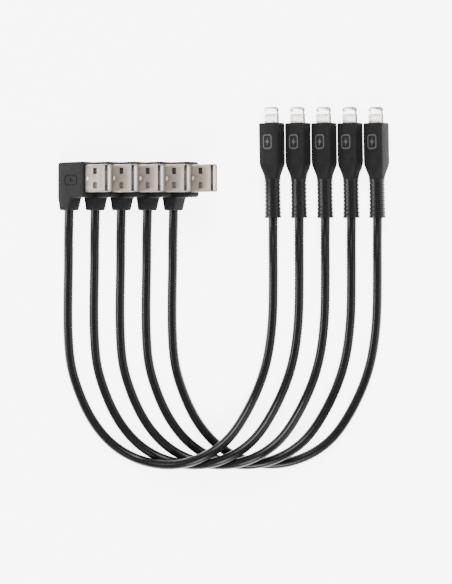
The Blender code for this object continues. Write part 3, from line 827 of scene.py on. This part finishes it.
def sleeve_shape():
    """Strain relief with flat-topped ribs and a groove after each but the last, flared at the cord."""
    pitch = SLEEVE_LENGTH / RIBS
    rings = []
    for i in range(RIBS):
        flare = SLEEVE_FLARE_MM * max(0, 1 - i / FLARED_RIBS)
        for share, depth in RIB_PROFILE:
            rings.append(sleeve_ring((i + share) * pitch, (flare - depth) * MM))
    rings[-1] = sleeve_ring(SLEEVE_LENGTH, 0)
    return loft("strain_relief_look", rings)


def sleeve_ring(y, grow):
    outline = rounded_rectangle(SLEEVE_WIDTH + 2 * grow, SLEEVE_THICKNESS + 2 * grow, SLEEVE_CORNER + grow)
    return along_y(outline, y)


def window_outline(play, corner):
    """The tab's window, or an insert that stands inside it by half the play."""
    outline = rounded_rectangle(WINDOW_WIDTH - play, WINDOW_LENGTH - play, corner, steps=4)
    return moved(outline, 0, WINDOW_MIDDLE)


def tab_shape():
    half_width = TAB_WIDTH / 2
    base = HOUSING_FRONT - TAB_BURIED
    corners = (
        (-half_width, base, TAB_BASE_CORNER),
        (half_width, base, TAB_BASE_CORNER),
        (half_width, TAB_TIP, TAB_TIP_CORNER),
        (-half_width, TAB_TIP, TAB_TIP_CORNER),
    )
    solid = slab("phone_plug_tab_look", rounded_outline(corners, steps=8), TAB_THICKNESS)
    solid = round_edges(solid, TAB_EDGE, segments=4, angle=60)
    outlines = [window_outline(0, WINDOW_CORNER)]
    for side in (-1, 1):
        outlines.append(circle(side * half_width, TAB_TIP - DETENT_FROM_TIP, DETENT_RADIUS))
    return cut(solid, [slab("opening", outline, 2 * TAB_THICKNESS) for outline in outlines])


def insert_shape():
    """White insert that fills the tab's window."""
    outline = window_outline(INSERT_PLAY, INSERT_CORNER)
    return round_edges(slab("contact_insert_look", outline, INSERT_THICKNESS), PLATE_EDGE)


def pads_shape():
    """Eight contact pads on each face of the insert."""
    outline = rounded_rectangle(PAD_WIDTH, PAD_LENGTH, PAD_CORNER, steps=3)
    pads = []
    for i in range(PADS):
        x = (i - (PADS - 1) / 2) * PAD_PITCH
        pads.append(slab("pad", moved(outline, x, WINDOW_MIDDLE), PAD_THICKNESS))
    return round_edges(joined("contact_pads_look", pads), PAD_EDGE)


def mark_shape():
    """The plain sign, printed on the housing's wide face."""
    mark = joined("charge_mark", framed_bolt(PRINTED_OUTLINES, INK_THICKNESS, INK_BASE, PRINTED_BOLT))
    mark.transform(Matrix.Translation((0, PRINTED_MIDDLE, 0)))
    return mark


# ---------------------------------------------------------------- cord


def smooth_curve(points, count):
    """Evenly spread points on the natural cubic spline through the given ones."""
    points = np.array(points, float)
    steps = np.linalg.norm(np.diff(points, axis=0), axis=1)
    along = np.concatenate([[0], np.cumsum(steps)])
    size = len(points)
    matrix = np.eye(size)
    right = np.zeros((size, 3))
    for i in range(1, size - 1):
        before, after = steps[i - 1], steps[i]
        matrix[i, i - 1 : i + 2] = before, 2 * (before + after), after
        slopes = (points[i + 1] - points[i]) / after - (points[i] - points[i - 1]) / before
        right[i] = 6 * slopes
    bends = np.linalg.solve(matrix, right)
    at = np.linspace(0, along[-1], count)
    piece = np.clip(np.searchsorted(along, at, side="right") - 1, 0, size - 2)
    length = steps[piece][:, None]
    ahead = (along[piece + 1] - at)[:, None]
    behind = (at - along[piece])[:, None]
    bend = (bends[piece] * ahead**3 + bends[piece + 1] * behind**3) / (6 * length)
    start = (points[piece] / length - bends[piece] * length / 6) * ahead
    end = (points[piece + 1] / length - bends[piece + 1] * length / 6) * behind
    return bend + start + end


def cord_route(number):
    """The route of one cable's cord in the cable's own frame."""
    resting = CORD_DIAMETER / 2
    heights = [resting] * len(CORD_ROUTE_MM)
    for i, share in enumerate(USB_CLIMB):
        heights[i] += share * (USB_HEIGHT - resting)
    for i, share in enumerate(reversed(PHONE_CLIMB)):
        heights[-1 - i] += share * (PHONE_HEIGHT - resting)
    for i, diameters in enumerate(HUMPS[number - 1]):
        heights[HUMP_START + i] = diameters * CORD_DIAMETER
    return [(x * MM, y * MM, height) for (x, y), height in zip(CORD_ROUTE_MM, heights)]


def cord_object(name, route, origin):
    """A smooth tube along the route, with each end run a little way into its plug, and its length."""
    points = smooth_curve(route, CORD_POINTS)
    points[:, 2] = np.maximum(points[:, 2], CORD_DIAMETER / 2)
    length = float(np.linalg.norm(np.diff(points, axis=0), axis=1).sum())
    first = points[0] + (0, CORD_INSET, 0)
    last = points[-1] + (0, CORD_INSET, 0)
    points = np.vstack([first, points, last]) + origin
    curve = bpy.data.curves.new(name, "CURVE")
    curve.dimensions = "3D"
    curve.bevel_depth = CORD_DIAMETER / 2
    curve.bevel_resolution = 10
    curve.use_fill_caps = True
    spline = curve.splines.new("POLY")
    spline.points.add(len(points) - 1)
    for knot, point in zip(spline.points, points):
        knot.co = (*point, 1)
    spline.use_smooth = True
    made = bpy.data.objects.new(name, curve)
    bpy.context.scene.collection.objects.link(made)
    return made, length


# ---------------------------------------------------------------- putting it together


def standing_height(half_width, half_thickness, corner, roll):
    """Height of a rounded bar's middle above the surface that it lies rolled on."""
    return (half_width - corner) * sin(roll) + (half_thickness - corner) * cos(roll) + corner


def reach(half_width, half_thickness, corner, roll):
    """Half the plan width of a rounded bar that lies rolled."""
    return (half_width - corner) * cos(roll) + (half_thickness - corner) * sin(roll) + corner


USB_SECTION = (HEEL_TO_CORD, MOULD_THICKNESS / 2, MOULD_EDGE, USB_PLUG_ROLL)
PHONE_SECTION = (HOUSING_WIDTH / 2, HOUSING_THICKNESS / 2, HOUSING_CORNER, PHONE_PLUG_ROLL)
USB_HEIGHT = standing_height(*USB_SECTION)
PHONE_HEIGHT = standing_height(*PHONE_SECTION)


def cable_origin(number):
    """Where the cable's own frame stands, from the box of its USB overmould."""
    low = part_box(f"cable_{number}_usb_overmould")[0]
    return Vector((low[0] + reach(*USB_SECTION), low[1], 0))


def dressed(mesh, material):
    """The mesh with its material, shaded smooth except at its edges."""
    mesh.materials.append(material)
    mesh.shade_smooth()
    mesh.set_sharp_from_angle(angle=radians(30))
    return mesh


def add_piece(body, matrix, name, mesh, slot, replaced=None):
    """One visible piece on a cable, in the place of one of its CAD pieces or of none."""
    piece = bpy.data.objects.new(f"{body}_{name}", mesh)
    bpy.context.scene.collection.objects.link(piece)
    piece.matrix_world = matrix
    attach(piece, body)
    if replaced:
        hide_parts(f"{body}_{replaced}")


def build_cable(number, usb_pieces, phone_pieces, jacket):
    body = f"cable_{number}"
    origin = cable_origin(number)
    exit_point = origin + Vector((0, 0, USB_HEIGHT))
    usb = Matrix.Translation(exit_point) @ Matrix.Rotation(-USB_PLUG_ROLL, 4, "Y")
    route = cord_route(number)
    cord_end = Vector(route[-1]) + Vector((0, GAP, 0))
    phone = Matrix.Translation(origin + cord_end)
    phone = phone @ Matrix.Rotation(PHONE_PLUG_LEAN, 4, "Z") @ Matrix.Rotation(-PHONE_PLUG_ROLL, 4, "Y")
    for piece in usb_pieces:
        add_piece(body, usb, *piece)
    for piece in phone_pieces:
        add_piece(body, phone, *piece)

    cord, length = cord_object(f"{body}_cord_look", route, origin)
    cord.data.materials.append(jacket)
    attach(cord, body)
    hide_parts(f"{body}_cord")


def build_cables():
    """Models each plug's pieces once and puts them on every cable."""
    black = moulded_black()
    white = white_plastic()
    nickel = sheet_nickel()
    gold = gold_plate()
    # Painted shade: the gap over the tongue and the lower latch hole, the contact slots, and the upper latch
    # hole.
    painted_shade_brown = shade_plastic("painted_shade_brown", (0.11, 0.095, 0.082))
    painted_slot_shade = shade_plastic("painted_slot_shade", (0.075, 0.066, 0.06))
    painted_deep_shade = shade_plastic("painted_deep_shade", (0.03, 0.021, 0.017))
    # Each piece: its name, its mesh, its slot, and the CAD piece that it stands in for
    usb_pieces = [
        ("overmould_look", dressed(overmould_shape(), black), "black_plastic", "usb_overmould"),
        ("shell_look", dressed(shell_shape(), nickel), "nickel_shell", "usb_shell"),
        # The spring tabs' bright colour is a painted highlight.
        ("spring_tabs_look", dressed(spring_tabs_shape(), painted_glint_nickel()), "nickel_shell"),
        ("tongue_look", dressed(tongue_shape(), white), "white_plastic", "usb_tongue"),
        ("contact_carrier", dressed(gap_shade_shape(), painted_shade_brown), "white_plastic"),
        ("contact_slots", dressed(slot_shade_shape(), painted_slot_shade), "white_plastic"),
        ("upper_hole_pad", dressed(upper_hole_shade_shape(), painted_deep_shade), "white_plastic"),
    ]
    for i, contact in enumerate(CONTACTS):
        mesh = dressed(contact_shape(*contact), gold)
        usb_pieces.append((f"contact_look_{i + 1}", mesh, "gold_contact", f"usb_contact_{i + 1}"))
    phone_pieces = [
        ("sleeve_look", dressed(sleeve_shape(), sleeve_black()), "black_plastic", "strain_relief"),
        ("housing_look", dressed(housing_shape(), black), "black_plastic", "phone_plug_housing"),
        ("charge_mark", dressed(mark_shape(), printed_grey()), "black_plastic"),
        ("tab_look", dressed(tab_shape(), bright_nickel()), "bright_tab", "phone_plug_tab"),
        ("insert_look", dressed(insert_shape(), white), "white_plastic"),
        ("pads_look", dressed(pads_shape(), pale_gold()), "gold_contact", "phone_plug_contacts"),
    ]
    jacket = jacket_black()
    for number in range(1, CABLES + 1):
        build_cable(number, usb_pieces, phone_pieces, jacket)


def make_camera():
    data = bpy.data.cameras.new("camera")
    data.sensor_width = SENSOR
    data.lens = PIXELS_PER_METRE_AT_FLOOR * CAMERA_PLACE[2] / IMAGE_HEIGHT * SENSOR
    data.clip_start = 0.01
    camera = bpy.data.objects.new("camera", data)
    camera.location = CAMERA_PLACE
    bpy.context.scene.collection.objects.link(camera)
    bpy.context.scene.camera = camera


def make_floor():
    shape = bmesh.new()
    bmesh.ops.create_grid(shape, x_segments=1, y_segments=1, size=FLOOR_HALF_WIDTH)
    floor = bpy.data.objects.new("floor", finished("floor", shape))
    floor.location.z = -FLOOR_DROP
    paper = principled("floor", (0.93, 0.93, 0.93), roughness=0.9)
    shader = shader_of(paper)
    shader.inputs["Emission Color"].default_value = (1, 1, 1, 1)
    shader.inputs["Emission Strength"].default_value = FLOOR_GLOW
    floor.data.materials.append(paper)
    bpy.context.scene.collection.objects.link(floor)


def area_light(name, stand, aim, diameter, watts):
    data = bpy.data.lights.new(name, "AREA")
    data.shape = "DISK"
    data.size = diameter
    data.energy = watts
    light = bpy.data.objects.new(name, data)
    light.location = stand
    light.rotation_euler = (Vector(aim) - Vector(stand)).to_track_quat("-Z", "Y").to_euler()
    bpy.context.scene.collection.objects.link(light)


def make_world():
    """Studio surround: bright low down, dim overhead."""
    world = bpy.data.worlds.new("studio")
    world.use_nodes = True
    nodes = world.node_tree.nodes
    links = world.node_tree.links
    coordinates = nodes.new("ShaderNodeTexCoord")
    split = nodes.new("ShaderNodeSeparateXYZ")
    spread = nodes.new("ShaderNodeMapRange")
    spread.interpolation_type = "SMOOTHSTEP"
    spread.inputs["From Min"].default_value = HORIZON_TOP
    spread.inputs["From Max"].default_value = OVERHEAD_START
    spread.inputs["To Min"].default_value = HORIZON
    spread.inputs["To Max"].default_value = OVERHEAD
    links.new(coordinates.outputs["Generated"], split.inputs["Vector"])
    links.new(split.outputs["Z"], spread.inputs["Value"])
    links.new(spread.outputs["Result"], nodes["Background"].inputs["Strength"])
    bpy.context.scene.world = world


def make_lights():
    """The two low lights draw highlights along the cords, and the two high ones light the floor."""
    area_light("key", stand=(-0.8, 0, 0.4), aim=(0, -0.04, 0), diameter=0.34, watts=5.5)
    area_light("fill", stand=(0.9, 0, 0.5), aim=(0, -0.04, 0), diameter=0.8, watts=6)
    area_light("top_of_page", stand=(0, 1.05, 1.05), aim=(0, -0.05, 0), diameter=0.9, watts=40)
    area_light("foot_of_page", stand=(0, -1.15, 1.05), aim=(0, -0.05, 0), diameter=0.9, watts=40)


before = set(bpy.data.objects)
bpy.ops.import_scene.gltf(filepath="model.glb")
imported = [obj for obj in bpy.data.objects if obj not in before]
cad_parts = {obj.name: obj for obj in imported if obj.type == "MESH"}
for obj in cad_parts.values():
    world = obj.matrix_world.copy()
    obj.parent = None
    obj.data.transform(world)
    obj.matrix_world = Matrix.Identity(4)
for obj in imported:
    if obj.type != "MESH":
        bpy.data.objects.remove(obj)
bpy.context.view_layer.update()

make_camera()
make_floor()
make_world()
make_lights()
build_cables()
